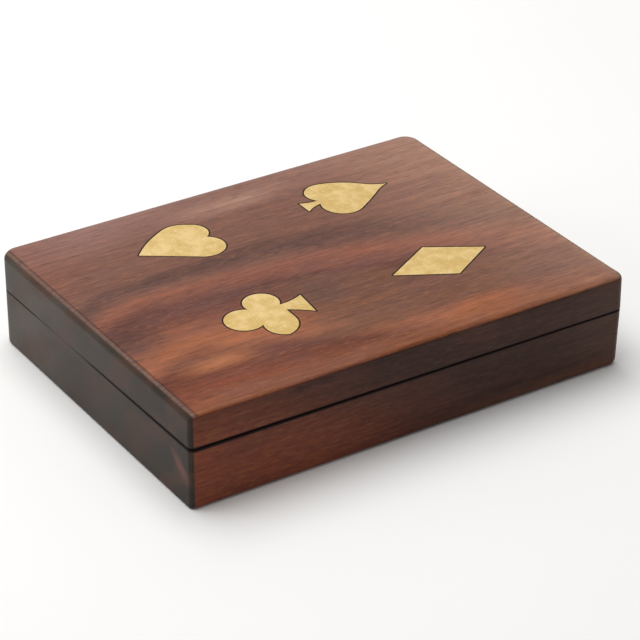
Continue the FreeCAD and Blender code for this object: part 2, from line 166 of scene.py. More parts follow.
class Finish:
    """A procedural finish: one Principled surface and the nodes that feed it."""

    def __init__(self, name, **fixed):
        self.material = bpy.data.materials.new(name)
        self.material.use_nodes = True
        self.tree = self.material.node_tree
        self.surface = self.tree.nodes["Principled BSDF"]
        for socket, value in fixed.items():
            self.surface.inputs[socket.replace("_", " ")].default_value = value

    def add(self, kind, settings, sockets, out=0):
        """Add a node: its settings first, then the numbers or links of its sockets."""
        node = self.tree.nodes.new(kind)
        for name, setting in settings.items():
            if name == "stops":
                ramp = node.color_ramp
                while len(ramp.elements) < len(setting):
                    ramp.elements.new(0.5)
                for stop, (place, colour) in zip(ramp.elements, setting):
                    stop.position = place
                    stop.color = (*colour, 1.0)
            else:
                setattr(node, name, setting)
        for name, value in sockets.items():
            if isinstance(value, Value):
                self.tree.links.new(value.socket, node.inputs[name])
            else:
                node.inputs[name].default_value = value
        return Value(self, node.outputs[out])

    def feed(self, socket, value):
        """Link a value to the surface."""
        self.tree.links.new(value.socket, self.surface.inputs[socket])

    def millimetres(self):
        """Where a point of the piece is, in millimetres, as X, Y, Z and one vector."""
        place = self.add("ShaderNodeTexCoord", {}, {}, out="Object")
        scaled = self.add("ShaderNodeVectorMath", {"operation": "SCALE"}, {0: place, "Scale": 1000.0})
        parts = [self.add("ShaderNodeSeparateXYZ", {}, {0: scaled}, out=axis) for axis in range(3)]
        return (*parts, scaled)

    def facing(self):
        """The outward direction as three values, which turn with the piece."""
        normal = self.add("ShaderNodeTexCoord", {}, {}, out="Normal")
        return [self.add("ShaderNodeSeparateXYZ", {}, {0: normal}, out=axis) for axis in range(3)]

    def stretched(self, vector, scale):
        """A vector scaled differently along each axis, to draw a pattern out along the grain."""
        return self.add("ShaderNodeVectorMath", {"operation": "MULTIPLY"}, {0: vector, 1: scale})

    def noise(self, vector, scale=1.0, detail=3.0, roughness=0.5, distortion=0.0):
        """Soft random values round one half."""
        sockets = {
            "Vector": vector,
            "Scale": scale,
            "Detail": detail,
            "Roughness": roughness,
            "Distortion": distortion,
        }
        return self.add("ShaderNodeTexNoise", {}, sockets)

    def ramp(self, value, stops):
        """A colour for each stretch of a value from 0 to 1."""
        return self.add("ShaderNodeValToRGB", {"stops": stops}, {0: value})

    def mixed(self, share, first, second, blend="MIX"):
        """Two colours mixed by a share."""
        settings = {"data_type": "RGBA", "blend_type": blend}
        first, second = [c if isinstance(c, Value) else (*c, 1.0) for c in (first, second)]
        return self.add("ShaderNodeMix", settings, {0: share, 6: first, 7: second}, out=2)

    def relief(self, height, depth, strength=1.0):
        """Shallow relief of a depth in metres, by bump."""
        sockets = {"Strength": strength, "Distance": depth, "Height": height}
        self.feed("Normal", self.add("ShaderNodeBump", {}, sockets))


floor_finish = Finish("pale_sweep", Roughness=0.9)
floor_place = floor_finish.millimetres()[-1]
floor_tone = floor_finish.noise(floor_place, scale=0.004, detail=2.0)
floor_finish.feed("Base Color", floor_finish.mixed(floor_tone, (0.93, 0.93, 0.93), (0.9, 0.9, 0.9)))
floor_mesh = bpy.data.meshes.new("floor")
floor_reach = 6.0
floor_mesh.from_pydata(
    [(x * floor_reach, y * floor_reach, cad_low.z) for x, y in ((-1, -1), (1, -1), (1, 1), (-1, 1))],
    [],
    [(0, 1, 2, 3)],
)
floor_mesh.materials.append(floor_finish.material)
floor = bpy.data.objects.new("floor", floor_mesh)
bpy.context.scene.collection.objects.link(floor)


# ---------------------------------------------------------------- rosewood
# Both halves are sawn and hollowed from one block of oiled sheesham, so that the figure runs on
# from the lid into the base: dark growth bands that arch over the lid, and end grain on the ends.

HALF_X, HALF_Y = round(cad_high.x / MM, 3), round(cad_high.y / MM, 3)
SEAM = round(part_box("base_block")[1].z / MM, 3)


def swatch(red, green, blue):
    """A colour as a screen gives it, 0 to 255 a channel, as the linear one that a finish needs."""
    return tuple(((part / 255 + 0.055) / 1.055) ** 2.4 for part in (red, green, blue))


def saw_wander(x, y):
    """How far the hand-sawn cut between lid and base strays above level, in millimetres.

    It takes numbers or a finish's values, so that the mesh and the dark line on it agree.
    """
    to_left = (HALF_X - x) * (0.5 / HALF_X)
    to_front = (HALF_Y - y) * (0.5 / HALF_Y)
    to_back = (HALF_Y + y) * (0.5 / HALF_Y)
    return to_left * to_front ** 2 * 1.2 - to_left ** 8 * to_back ** 4 * 0.6


class BlockGrain:
    """The patterns that run right through the block, drawn out along X as its fibres are."""

    def __init__(self, wood):
        self.x, self.y, self.z, self.place = wood.millimetres()

        def drawn_out(along, across, **noise):
            return wood.noise(wood.stretched(self.place, (along, across, across)), **noise)

        self.sway = drawn_out(0.012, 0.03, detail=2.0) - 0.5
        self.ripple = drawn_out(0.03, 0.12, detail=3.0) - 0.5
        self.fibre = drawn_out(0.10, 1.8, detail=4.0, roughness=0.7, distortion=0.3)
        self.curl = drawn_out(0.16, 0.75, detail=4.0, roughness=0.75, distortion=0.6)
        self.thread = drawn_out(0.02, 0.7, detail=4.0, roughness=0.6) - 0.5
        self.pore = drawn_out(0.14, 4.0, detail=2.0, roughness=0.4).rise(0.62, 0.72)
        self.violet = drawn_out(0.02, 0.06, scale=1.4, detail=2.0).rise(0.45, 0.65)


def lid_figure(wood, grain):
    """The top: growth bands that arch over it and spread to the right, with a few clouds, and a painted sheen
    that pales it towards the back and the right.
    """
    x, y, sway, ripple = grain.x, grain.y, grain.sway, grain.ripple
    right_arm = (x + 40.0).above(0.0)
    left_arm = (-70.0 - x).above(0.0)
    arch = y + right_arm * right_arm * 0.0015 + left_arm * left_arm * 0.011
    spread = (x + 70.0).above(0.0) * 0.006 + 1.0
    still = 18.0
    band = still - (still - arch - sway * 7.0 - ripple * 5.0) * spread ** -1.0
    band_start, band_reach = -60.0, 130.0
    # The bands run from the front of the lid to the back; the palest stops, at the back, are the wood's tone
    # with a painted sheen over it.
    colour = wood.ramp((band - band_start) * (1 / band_reach), [
        (0.00, swatch(122, 60, 38)),
        (0.09, swatch(106, 53, 33)),
        (0.15, swatch(98, 49, 34)),
        (0.21, swatch(166, 99, 63)),
        (0.28, swatch(150, 88, 58)),
        (0.37, swatch(113, 65, 51)),
        (0.425, swatch(97, 56, 48)),
        (0.455, swatch(94, 53, 46)),
        (0.49, swatch(120, 72, 58)),
        (0.53, swatch(139, 84, 65)),
        (0.565, swatch(117, 77, 63)),
        (0.59, swatch(92, 62, 54)),
        (0.615, swatch(91, 61, 53)),
        (0.66, swatch(118, 79, 65)),
        (0.82, swatch(123, 84, 71)),
        (1.00, swatch(146, 110, 102)),
    ])
    calm = (x + ripple * 40.0).rise(-42.0, -8.0) * band.rise(0.0, -6.0)
    calm = calm * (y + sway * 16.0).rise(-63.0, -53.0)
    colour = wood.mixed(calm * 0.9, colour, swatch(112, 73, 54))
    clouds = [
        (-94.0, 26.0, -17.0, 18.0, 0.9, swatch(84, 52, 45)),
        (-70.0, 26.0, -46.0, 10.0, 0.7, swatch(184, 118, 78)),
        (-9.0, 18.0, -22.0, 18.0, 0.65, swatch(84, 60, 54)),
        (78.0, 30.0, -55.0, 12.0, 0.6, swatch(92, 62, 52)),
        (2.0, 44.0, 61.0, 9.0, 0.55, swatch(190, 150, 130)),
    ]
    for cloud_x, reach_x, cloud_y, reach_y, strength, tone in clouds:
        cloud = x.bump_at(cloud_x, reach_x) * (y + ripple * 12.0).bump_at(cloud_y, reach_y)
        colour = wood.mixed(cloud * strength, colour, tone)
    warm_front = y.rise(-58.0, -74.0) * 0.7
    colour = wood.mixed(warm_front, colour, swatch(134, 80, 50))
    # The left back of the top kept warmer and less pale, where the painted sheen of the far side is weaker.
    left_back_warmer = x.rise(-60.0, -100.0) * y.rise(15.0, 45.0) * 0.6
    colour = wood.mixed(left_back_warmer, colour, swatch(124, 76, 60))
    # Painted sheen: the top made paler towards the right, and a little towards the back.
    painted_sheen_right = (x * 0.9 + y * 0.15).rise(20.0, 95.0) * 0.5
    colour = wood.mixed(painted_sheen_right, colour, swatch(178, 138, 118))
    return wood.mixed(grain.violet * 0.25, colour, swatch(118, 82, 76))


def lid_edges_painted_sheen(wood, grain, colour):
    """The lid's rounded edges: painted sheen on the back and right roundings, end-grain grey with painted
    sheen on the left one, greyer and darker at the right edge's outer rim, and a dark line just inside the
    left one.
    """
    edge_line_x = grain.x + grain.ripple * 0.25
    # Painted sheen over end-grain grey: the left rounding paler and greyer, with a dark line just inside it.
    colour = wood.mixed(edge_line_x.rise(-96.6, -97.2) * 0.85, colour, swatch(102, 82, 74))
    colour = wood.mixed(edge_line_x.bump_at(-96.6, 0.7) * 0.75, colour, swatch(64, 26, 20))
    # Painted sheen on the right rounding, then greyer and darker at its outer rim.
    colour = wood.mixed(grain.x.rise(93.5, 97.0) * 0.3, colour, swatch(158, 132, 112))
    colour = wood.mixed(grain.x.rise(97.2, 98.8) * 0.7, colour, swatch(78, 68, 58))
    # Painted sheen on the back rounding.
    return wood.mixed(grain.y.rise(71.5, 75.0) * 0.5, colour, swatch(146, 120, 112))


def long_side_figure(wood, grain):
    """The front and back: red to the left, nearly black to the right, with one black streak."""
    x, z, sway, ripple = grain.x, grain.z, grain.sway, grain.ripple
    shade = (x + (z - 12.0).above(0.0) * 2.2 + sway * 55.0 + ripple * 20.0).rise(-85.0, 45.0)
    colour = wood.mixed(shade, swatch(123, 61, 41), swatch(60, 36, 28))
    colour = wood.mixed((x + sway * 30.0).rise(55.0, 95.0) * 0.6, colour, swatch(82, 58, 48))
    black_streak = (x + 45.0).size().rise(4.0, 16.0, 1.0, 0.0) * (z - ripple * 3.0).bump_at(38.0, 2.2)
    colour = wood.mixed(black_streak * 0.8, colour, swatch(46, 26, 24))
    colour = wood.mixed(grain.violet * 0.3, colour, swatch(92, 52, 44))
    golden = wood.mixed(shade, swatch(146, 92, 52), swatch(84, 60, 48))
    colour = wood.mixed(grain.curl.rise(0.47, 0.66) * 0.4, colour, golden)
    # Painted light: the front and back paler along their lowest few millimetres, more so to the right.
    painted_light_low_down = z.rise(7.0, 2.5) * (x + sway * 30.0).rise(0.0, 40.0)
    return wood.mixed(painted_light_low_down * 0.6, colour, swatch(100, 64, 48))


def end_figure(wood, grain):
    """The end grain: rings cut on the slant, with a painted sheen that greys and lightens it towards the
    back, and a streak of sapwood.
    """
    y, z, place = grain.y, grain.z, grain.place
    swirl = wood.noise(wood.stretched(place, (0.02, 0.03, 0.05)), detail=3.0, distortion=1.0)
    slant = y + z * 1.25 + swirl * 55.0
    rings = slant.sum_of("SINE", slant * 0.17).rise(-0.5, 1.0)
    # Painted sheen: the end made greyer and lighter from front to back.
    colour = wood.mixed(y.rise(-75.0, 72.0), swatch(50, 41, 34), swatch(82, 73, 64))
    colour = wood.mixed(rings * 0.6, colour, swatch(82, 54, 44))
    grey_rub = wood.noise(place, scale=0.05, detail=3.0).rise(0.4, 0.7)
    colour = wood.mixed(grey_rub * 0.35, colour, swatch(44, 42, 34))
    dark_heart = y.bump_at(12.0, 26.0) * z.rise(27.0, 19.0)
    colour = wood.mixed(dark_heart * 0.45, colour, swatch(46, 38, 31))
    sapwood = (y - z * 0.89).bump_at(-82.0, 6.0) * z.bump_at(15.5, 8.0)
    return wood.mixed(sapwood * 0.65, colour, swatch(122, 78, 70))


def fine_grain(wood, grain, colour, on_top, on_end):
    """Fibres, a gleam and a shadow where they curl, and open pores, over any of the figures."""
    streaks = (grain.fibre - 0.5) * 0.75 + grain.thread * 0.55
    along = wood.mixed(streaks.rise(-0.3, 0.3), (0.68, 0.66, 0.66), (1.30, 1.28, 1.25))
    speckle = wood.noise(grain.place, scale=1.6, detail=3.0)
    across = wood.mixed(speckle.rise(0.3, 0.7), (0.86, 0.86, 0.86), (1.12, 1.12, 1.12))
    colour = wood.mixed(1.0, colour, wood.mixed(on_end, along, across), blend="MULTIPLY")
    gleam = grain.curl.rise(0.50, 0.74) * on_top
    colour = wood.mixed(gleam * 0.4, colour, swatch(176, 112, 74))
    shadow = grain.curl.rise(0.47, 0.30) * (1.0 - on_end)
    shadowed = wood.mixed(1.0, colour, (0.5, 0.46, 0.5), blend="MULTIPLY")
    colour = wood.mixed(shadow * 0.45, colour, shadowed)
    wood.feed("Roughness", grain.fibre.rise(0.3, 0.7, 0.36, 0.5) + grain.pore * 0.2)
    wood.relief(streaks - grain.pore * 0.8, 0.00006)
    return wood.mixed(grain.pore * 0.40, colour, swatch(44, 26, 22))


def painted_seam_shade(wood, grain, colour, on_left):
    """Painted shade in the groove between lid and base, and a dark line down the lid's front left corner."""
    x, y, z = grain.x, grain.y, grain.z
    # Painted shade: the groove between lid and base darkened as the gap in it falls in shadow, save where the
    # rims meet tightly.
    from_cut = (z - SEAM - saw_wander(x, y)).size()
    narrower_to_right = (x + HALF_X) * 0.0022
    narrower_to_back = on_left * (y + HALF_Y) * 0.006
    half_width = 1.15 + on_left * 0.05 - narrower_to_right - narrower_to_back
    tight = on_left * y.bump_at(22.0, 26.0)
    seam_shade = (from_cut - half_width).rise(-0.3, 0.15, 1.0, 0.0) * (1.0 - tight)
    outer_strip = (x.size() - (HALF_X - HALF_Y)).above(y.size()).rise(HALF_Y - 2.2, HALF_Y - 1.2)
    colour = wood.mixed(seam_shade * outer_strip * 0.96, colour, swatch(24, 10, 8))
    corner = (x + HALF_X).size().bump_at(0.0, 1.6) * (y + HALF_Y).size().bump_at(0.0, 1.6)
    return wood.mixed(corner * z.rise(25.5, 27.0) * 0.6, colour, swatch(30, 18, 16))


def rosewood():
    """Oiled rosewood, its colour worked out from where in the block a point was cut."""
    wood = Finish("oiled_rosewood", Specular_IOR_Level=0.16)
    grain = BlockGrain(wood)
    facing_x, _, facing_z = wood.facing()
    off_left_edge = grain.x.rise(-98.7, -98.1)
    on_top = facing_z.rise(0.35, 0.75) * off_left_edge
    on_end = facing_x.size().rise(0.5, 0.8).above(1.0 - off_left_edge)
    top = lid_edges_painted_sheen(wood, grain, lid_figure(wood, grain))
    side = wood.mixed(on_end, long_side_figure(wood, grain), end_figure(wood, grain))
    colour = fine_grain(wood, grain, wood.mixed(on_top, side, top), on_top, on_end)
    wood.feed("Base Color", painted_seam_shade(wood, grain, colour, facing_x.rise(-0.4, -0.8)))
    return wood.material


def perimeter(half_x, half_y, insets, radii, corner_steps, side_steps):
    """A rounded rectangle as (x, y, side share) points, from the front left corner anticlockwise.

    insets and radii are those of the left, front, right and back sides and of the front left,
    front right, back right and back left corners.
    """
    left, front, right, back = insets
    low_x, high_x = left - half_x, half_x - right
    low_y, high_y = front - half_y, half_y - back
    centres = [
        (low_x + radii[0], low_y + radii[0], 180),
        (high_x - radii[1], low_y + radii[1], 270),
        (high_x - radii[2], high_y - radii[2], 0),
        (low_x + radii[3], high_y - radii[3], 90),
    ]
    arcs = []
    for corner, (x, y, start) in enumerate(centres):
        angles = [math.radians(start + 90 * step / corner_steps) for step in range(corner_steps + 1)]
        radius = radii[corner]
        arcs.append([(x + radius * math.cos(a), y + radius * math.sin(a)) for a in angles])
    points = []
    for corner, arc in enumerate(arcs):
        for step, (x, y) in enumerate(arc):
            points.append((x, y, corner + step / corner_steps))
        ahead = arcs[(corner + 1) % 4][0]
        here = arc[-1]
        for step in range(1, side_steps[corner]):
            share = step / side_steps[corner]
            x = here[0] + (ahead[0] - here[0]) * share
            y = here[1] + (ahead[1] - here[1]) * share
            points.append((x, y, corner + 1.0))
    return points


def by_side(values, side_share):
    """A value of the left, front, right and back sides, blended smoothly round the corners."""
    first = int(side_share) % 4
    share = side_share - int(side_share)
    smooth = share * share * (3 - 2 * share)
    return values[first] * (1 - smooth) + values[(first + 1) % 4] * smooth


CORNER_STEPS = 8
SIDE_STEPS = [34, 26, 34, 26]
CORNERS = (2.6, 4.0, 6.5, 6.8)
WALL = 8.0
HOLLOW_CORNER = 5.0
GROOVE_STEPS = 4
EASE_STEPS = 7


def seam_ease(x, y):
    """How much of the rim's outer edge is eased off: hand work, so it comes and goes."""
    if y < -HALF_Y + 6:
        return 0.9 - 0.4 * (x + HALF_X) / (2 * HALF_X)
    if x < -HALF_X + 6:
        towards_front = min(1, max(0, (2 - y) / 70))
        towards_back = min(1, max(0, (y - 42) / 20))
        return 0.06 + 0.8 * towards_front ** 0.8 + 0.35 * towards_back
    return 0.5


def rim_gap(x, y):
    """Half the gap between the closed rims, which meet tightly along part of the left end."""
    return 0.02 if x < -HALF_X + 9 and 0 < y < 44 else 0.1


def lid_edge(x, y, side_share):
    """The lid's upper edges: rubbed down widely on the left, crisper in front, rounder to the right."""
    front_in = 1.3 + 1.5 * (x + HALF_X) / (2 * HALF_X)
    inset = by_side((3.1, front_in, 2.6, 2.4), side_share)
    depth = by_side((2.5, front_in, 2.2, 2.2), side_share)
    return inset, depth


def base_edge(x, y, side_share):
    """The base's lower edges, rounded with sandpaper."""
    radius = by_side((1.2, 2.4, 3.2, 2.8), side_share)
    return radius, radius


def carved_half(name, away, outer_z, hollow_z, edge, lean_in):
    """One half of the block: away is +1 for the lid, -1 for the base, and points from the seam.

    edge gives the inset and depth of the rounding between the sides and the outer face, and
    lean_in is how far the right end was planed in, at the seam and at the outer face.
    """
    bm = bmesh.new()
    rows = []

    def add_row(points):
        rows.append([bm.verts.new((x * MM, y * MM, z * MM)) for x, y, z in points])

    def cut_height(x, y):
        return SEAM + saw_wander(x, y)

    hollow = perimeter(HALF_X, HALF_Y, (WALL,) * 4, (HOLLOW_CORNER,) * 4, CORNER_STEPS, SIDE_STEPS)
    add_row([(x, y, hollow_z) for x, y, share in hollow])
    add_row([(x, y, cut_height(x, y) + 0.5 * away) for x, y, share in hollow])
    brow = perimeter(HALF_X, HALF_Y, (WALL - 0.5,) * 4, (HOLLOW_CORNER,) * 4, CORNER_STEPS, SIDE_STEPS)
    add_row([(x, y, cut_height(x, y)) for x, y, share in brow])

    rim = perimeter(HALF_X, HALF_Y, (0,) * 4, CORNERS, CORNER_STEPS, SIDE_STEPS)
    towards_middle = []
    for x, y, share in rim:
        inner_x = max(10 - HALF_X, min(HALF_X - 10, x))
        inner_y = max(10 - HALF_Y, min(HALF_Y - 10, y))
        towards_middle.append(Vector((inner_x - x, inner_y - y)).normalized())

    def moved_in(distance, height):
        """The rim's row moved in and set to a height; both are given as functions of a point."""
        points = []
        for (x, y, share), inwards in zip(rim, towards_middle):
            step_in = distance(x, y, share)
            points.append((x + inwards.x * step_in, y + inwards.y * step_in, height(x, y, share)))
        add_row(points)

    moved_in(lambda x, y, s: 2.6, lambda x, y, s: cut_height(x, y))
    inner_rows = len(rows)
    moved_in(lambda x, y, s: 2.3, lambda x, y, s: cut_height(x, y) + 0.1 * away)
    for step in range(GROOVE_STEPS + 1):
        turned = math.radians(90 * step / GROOVE_STEPS)

        def groove_height(x, y, side_share):
            rise = rim_gap(x, y) + seam_ease(x, y) * (1 - math.cos(turned))
            return cut_height(x, y) + away * rise

        moved_in(lambda x, y, s: seam_ease(x, y) * (1 - math.sin(turned)), groove_height)
    for step in range(EASE_STEPS + 1):
        turned = math.radians(90 * step / EASE_STEPS)
        moved_in(
            lambda x, y, s: edge(x, y, s)[0] * (1 - math.cos(turned)),
            lambda x, y, s: outer_z - away * edge(x, y, s)[1] * (1 - math.sin(turned)),
        )
    for row in rows[inner_rows:]:
        for vert in row:
            lean = lean_in[0] + (lean_in[1] - lean_in[0]) * abs(vert.co.z / MM - SEAM) / abs(outer_z - SEAM)
            vert.co.x -= lean * MM * min(1, max(0, vert.co.x / MM / HALF_X)) ** 8
    for row, after in zip(rows, rows[1:]):
        for index in range(len(row)):
            following = (index + 1) % len(row)
            bm.faces.new((row[index], row[following], after[following], after[index]))
    bm.faces.new(rows[0])
    bm.faces.new(rows[-1])
    bmesh.ops.recalc_face_normals(bm, faces=bm.faces)
    mesh = bpy.data.meshes.new(name)
    bm.to_mesh(mesh)
    bm.free()
    thing = bpy.data.objects.new(name, mesh)
    bpy.context.scene.collection.objects.link(thing)
    return thing


def prism(name, outline, start_x, end_x):
    """A solid with an outline in Y and Z, drawn out along X."""
    bm = bmesh.new()
    ends = [[bm.verts.new((x * MM, y * MM, z * MM)) for y, z in outline] for x in (start_x, end_x)]
    for end in ends:
        bm.faces.new(end)
    for index in range(len(outline)):
        following = (index + 1) % len(outline)
        bm.faces.new((ends[0][index], ends[0][following], ends[1][following], ends[1][index]))
    bmesh.ops.recalc_face_normals(bm, faces=bm.faces)
    mesh = bpy.data.meshes.new(name)
    bm.to_mesh(mesh)
    bm.free()
    return bpy.data.objects.new(name, mesh)


def inlay_pocket(suit):
    """A cutter as wide as a suit's lac line, standing on its floor and rising out of the lid."""
    bm = bmesh.new()
    bm.from_mesh(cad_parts[f"{suit}_lac_line"].data)
    bmesh.ops.remove_doubles(bm, verts=bm.verts, dist=1e-6)
    floor_z = min(vert.co.z for vert in bm.verts)
    ahead = {}
    for face in bm.faces:
        if face.normal.z > -0.9:
            continue
        for loop in face.loops:
            if loop.link_loop_radial_next.face.normal.z > -0.9:
                ahead[loop.vert] = loop.link_loop_next.vert
    outlines = []
    while ahead:
        vert, after = ahead.popitem()
        outline = [vert]
        while after in ahead:
            outline.append(after)
            after = ahead.pop(after)
        outlines.append([(vert.co.x / MM, vert.co.y / MM) for vert in outline])
    bm.free()
    widest = max(outlines, key=lambda outline: max(x for x, y in outline) - min(x for x, y in outline))
    cutter = bmesh.new()
    rows = [[cutter.verts.new((x * MM, y * MM, z)) for x, y in widest] for z in (floor_z, floor_z + 3 * MM)]
    for row in rows:
        cutter.faces.new(row)
    for index in range(len(widest)):
        following = (index + 1) % len(widest)
        cutter.faces.new((rows[0][index], rows[0][following], rows[1][following], rows[1][index]))
    bmesh.ops.recalc_face_normals(cutter, faces=cutter.faces)
    mesh = bpy.data.meshes.new("pocket")
    cutter.to_mesh(mesh)
    cutter.free()
    return bpy.data.objects.new("pocket", mesh)


def carve(thing, tools):
    """Cut tools out of a piece, and leave it a plain mesh."""
    for tool in tools:
        bpy.context.scene.collection.objects.link(tool)
        cut = thing.modifiers.new(tool.name, "BOOLEAN")
        cut.operation = "DIFFERENCE"
        cut.solver = "EXACT"
        cut.object = tool
    graph = bpy.context.evaluated_depsgraph_get()
    carved = bpy.data.meshes.new_from_object(thing.evaluated_get(graph))
    thing.modifiers.clear()
    thing.data = carved
    for tool in tools:
        bpy.data.objects.remove(tool)


HINGE_AXIS = Vector((0, 74.4, SEAM))
BEVEL_SETBACK = 0.1
BEVEL_SLOPE = math.tan(math.radians(50))
LEAF_HALF = 15.0
LEAF_INNER = 5.8
LEAF_DEPTH = 1.05
GROOVE_RADIUS = 1.85
HINGE_XS = (-60.0, 60.0)


def hinge_tools(away):
    """What is cut from one half for the hinges: the back bevel, leaf mortises and barrel grooves."""
    start = HINGE_AXIS.y - BEVEL_SETBACK
    reach = HALF_Y + 1 - start
    bevel = [(start, SEAM - 0.2 * away), (start, SEAM), (start + reach, SEAM + reach * BEVEL_SLOPE * away)]
    bevel.append((start + reach, SEAM - 0.2 * away))
    tools = [prism("bevel", bevel, -HALF_X - 1, HALF_X + 1)]
    turns = [math.radians(360 * step / 32) for step in range(32)]
    barrel = [(HINGE_AXIS.y + GROOVE_RADIUS * math.cos(a), SEAM + GROOVE_RADIUS * math.sin(a)) for a in turns]
    leaf = [
        (HINGE_AXIS.y - LEAF_INNER, SEAM - 0.5 * away),
        (HINGE_AXIS.y, SEAM - 0.5 * away),
        (HINGE_AXIS.y, SEAM + LEAF_DEPTH * away),
        (HINGE_AXIS.y - LEAF_INNER, SEAM + LEAF_DEPTH * away),
    ]
    for x in HINGE_XS:
        tools.append(prism("mortise", leaf, x - LEAF_HALF, x + LEAF_HALF))
        tools.append(prism("barrel_groove", barrel, x - LEAF_HALF - 0.6, x + LEAF_HALF + 0.6))
    return tools


def finished_wood(thing, body, node):
    """Shade, finish and place a carved piece."""
    for face in thing.data.polygons:
        face.use_smooth = True
    thing.data.set_sharp_from_angle(angle=math.radians(38))
    weighted = thing.modifiers.new("even_shading", "WEIGHTED_NORMAL")
    weighted.keep_sharp = True
    thing.data.materials.clear()
    thing.data.materials.append(oiled_rosewood)
    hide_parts(node)
    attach(thing, body)


oiled_rosewood = rosewood()
SUITS = ("heart", "spade", "club", "diamond")
lid_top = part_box("lid_block")[1].z / MM

base = carved_half("carved_base", -1, 0.0, 5.0, base_edge, (0.5, 1.7))
carve(base, hinge_tools(-1))
finished_wood(base, "base", "base_block")

lid = carved_half("carved_lid", 1, lid_top, lid_top - 6.0, lid_edge, (0.4, 0.5))
carve(lid, hinge_tools(1) + [inlay_pocket(suit) for suit in SUITS])
finished_wood(lid, "lid", "lid_block")


# ---------------------------------------------------------------- brass suits
# Sawn from 1 mm brass sheet, glued into pockets in the lid with black lac, then sanded flush with
# the wood, so that the lac shows as a thin line round each one.

def give(node, finish):
    """Put one finish on a CAD node."""
    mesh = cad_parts[node].data
    mesh.materials.clear()
    mesh.materials.append(finish.material)


suit_brass = Finish("sanded_brass", Metallic=0.4)
suit_place = suit_brass.millimetres()[-1]
sanding = suit_brass.noise(suit_brass.stretched(suit_place, (0.5, 9.0, 1.0)), detail=3.0)
cloud = suit_brass.noise(suit_place, scale=0.16, detail=4.0, roughness=0.6)
fleck = suit_brass.noise(suit_place, scale=1.3, detail=2.0).rise(0.56, 0.70)
suit_tone = suit_brass.mixed(cloud.rise(0.35, 0.68), swatch(212, 177, 102), swatch(232, 201, 136))
suit_brass.feed("Base Color", suit_brass.mixed(fleck * 0.35, suit_tone, swatch(250, 234, 194)))
suit_brass.feed("Roughness", sanding.rise(0.3, 0.7, 0.34, 0.52))
suit_brass.relief(sanding, 0.00001)

lac = Finish("black_lac", Specular_IOR_Level=0.1)
lac_place = lac.millimetres()[-1]
lac_cloud = lac.noise(lac_place, scale=0.8)
lac.feed("Base Color", lac.mixed(lac_cloud, (0.010, 0.005, 0.003), (0.030, 0.014, 0.008)))
lac.feed("Roughness", lac.noise(lac_place, scale=2.0).rise(0.3, 0.7, 0.3, 0.55))
for suit in SUITS:
    give(f"{suit}_inlay", suit_brass)
    give(f"{suit}_lac_line", lac)


# ---------------------------------------------------------------- felt linings
# Dark green wool felt, 1 mm thick, cut to the hollow and laid in the base, and another glued under
# the lid. The cut edge is a little compressed and the nap is uneven.

felt = Finish("green_wool_felt", Roughness=0.95, Sheen_Weight=0.35, Specular_IOR_Level=0.1)
felt_place = felt.millimetres()[-1]
nap = felt.noise(felt_place, scale=1.9, detail=5.0, roughness=0.7)
worn = felt.noise(felt_place, scale=0.03, detail=2.0)
felt_tone = felt.mixed(nap.rise(0.3, 0.7), swatch(22, 62, 42), swatch(58, 108, 78))
felt.feed("Base Color", felt.mixed(worn.rise(0.45, 0.7) * 0.35, felt_tone, swatch(70, 116, 88)))
felt.relief(nap, 0.0004)
FELT_GAP = 0.05


def felt_sheet(node, body, glued_z, open_z):
    """One lining: a flat glued face, a softly eased edge and a flat open face."""
    bm = bmesh.new()
    away = 1 if open_z > glued_z else -1
    edge = WALL + FELT_GAP
    rows = []
    for step_in, z in ((0, glued_z), (0, open_z - 0.45 * away), (0.15, open_z - 0.15 * away), (0.5, open_z)):
        outline = perimeter(HALF_X, HALF_Y, (edge + step_in,) * 4, (HOLLOW_CORNER,) * 4, 6, SIDE_STEPS)
        rows.append([bm.verts.new((x * MM, y * MM, z * MM)) for x, y, share in outline])
    for row, after in zip(rows, rows[1:]):
        for index in range(len(row)):
            following = (index + 1) % len(row)
            bm.faces.new((row[index], row[following], after[following], after[index]))
    bm.faces.new(rows[0])
    bm.faces.new(rows[-1])
    bmesh.ops.recalc_face_normals(bm, faces=bm.faces)
    mesh = bpy.data.meshes.new(f"{node}_cut")
    bm.to_mesh(mesh)
    bm.free()
    mesh.materials.append(felt.material)
    for face in mesh.polygons:
        face.use_smooth = len(face.vertices) == 4
    lining = bpy.data.objects.new(f"{node}_cut", mesh)
    bpy.context.scene.collection.objects.link(lining)
    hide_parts(node)
    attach(lining, body)


felt_sheet("base_felt", "base", 5.0, 6.0)
felt_sheet("lid_felt", "lid", lid_top - 6.0, lid_top - 7.0)


# ---------------------------------------------------------------- the fitted inside
# A planed board bored for six stacks of chips, and two strips that part it from the two decks.
# They are of the same rosewood, with every edge lightly sanded.

def planed_wood(name, along):
    """Planed rosewood with its grain along X or along Y."""
    planed = Finish(name, Specular_IOR_Level=0.25)
    spot = planed.millimetres()[-1]
    long, short = 0.05, 1.8
    stretch = (long, short, short) if along == "X" else (short, long, short)
    line = planed.noise(planed.stretched(spot, stretch), detail=4.0, roughness=0.6)
    broad_stretch = (0.01, 0.09, 0.09) if along == "X" else (0.09, 0.01, 0.09)
    flame = planed.noise(planed.stretched(spot, broad_stretch), detail=3.0, distortion=0.8)
    tone = planed.mixed(flame.rise(0.35, 0.65), swatch(92, 56, 44), swatch(146, 92, 64))
    shade = planed.mixed(line.rise(0.25, 0.75), (0.6, 0.58, 0.56), (1.35, 1.3, 1.28))
    planed.feed("Base Color", planed.mixed(1.0, tone, shade, blend="MULTIPLY"))
    planed.feed("Roughness", line.rise(0.3, 0.7, 0.38, 0.55))
    planed.relief(line, 0.00005)
    return planed


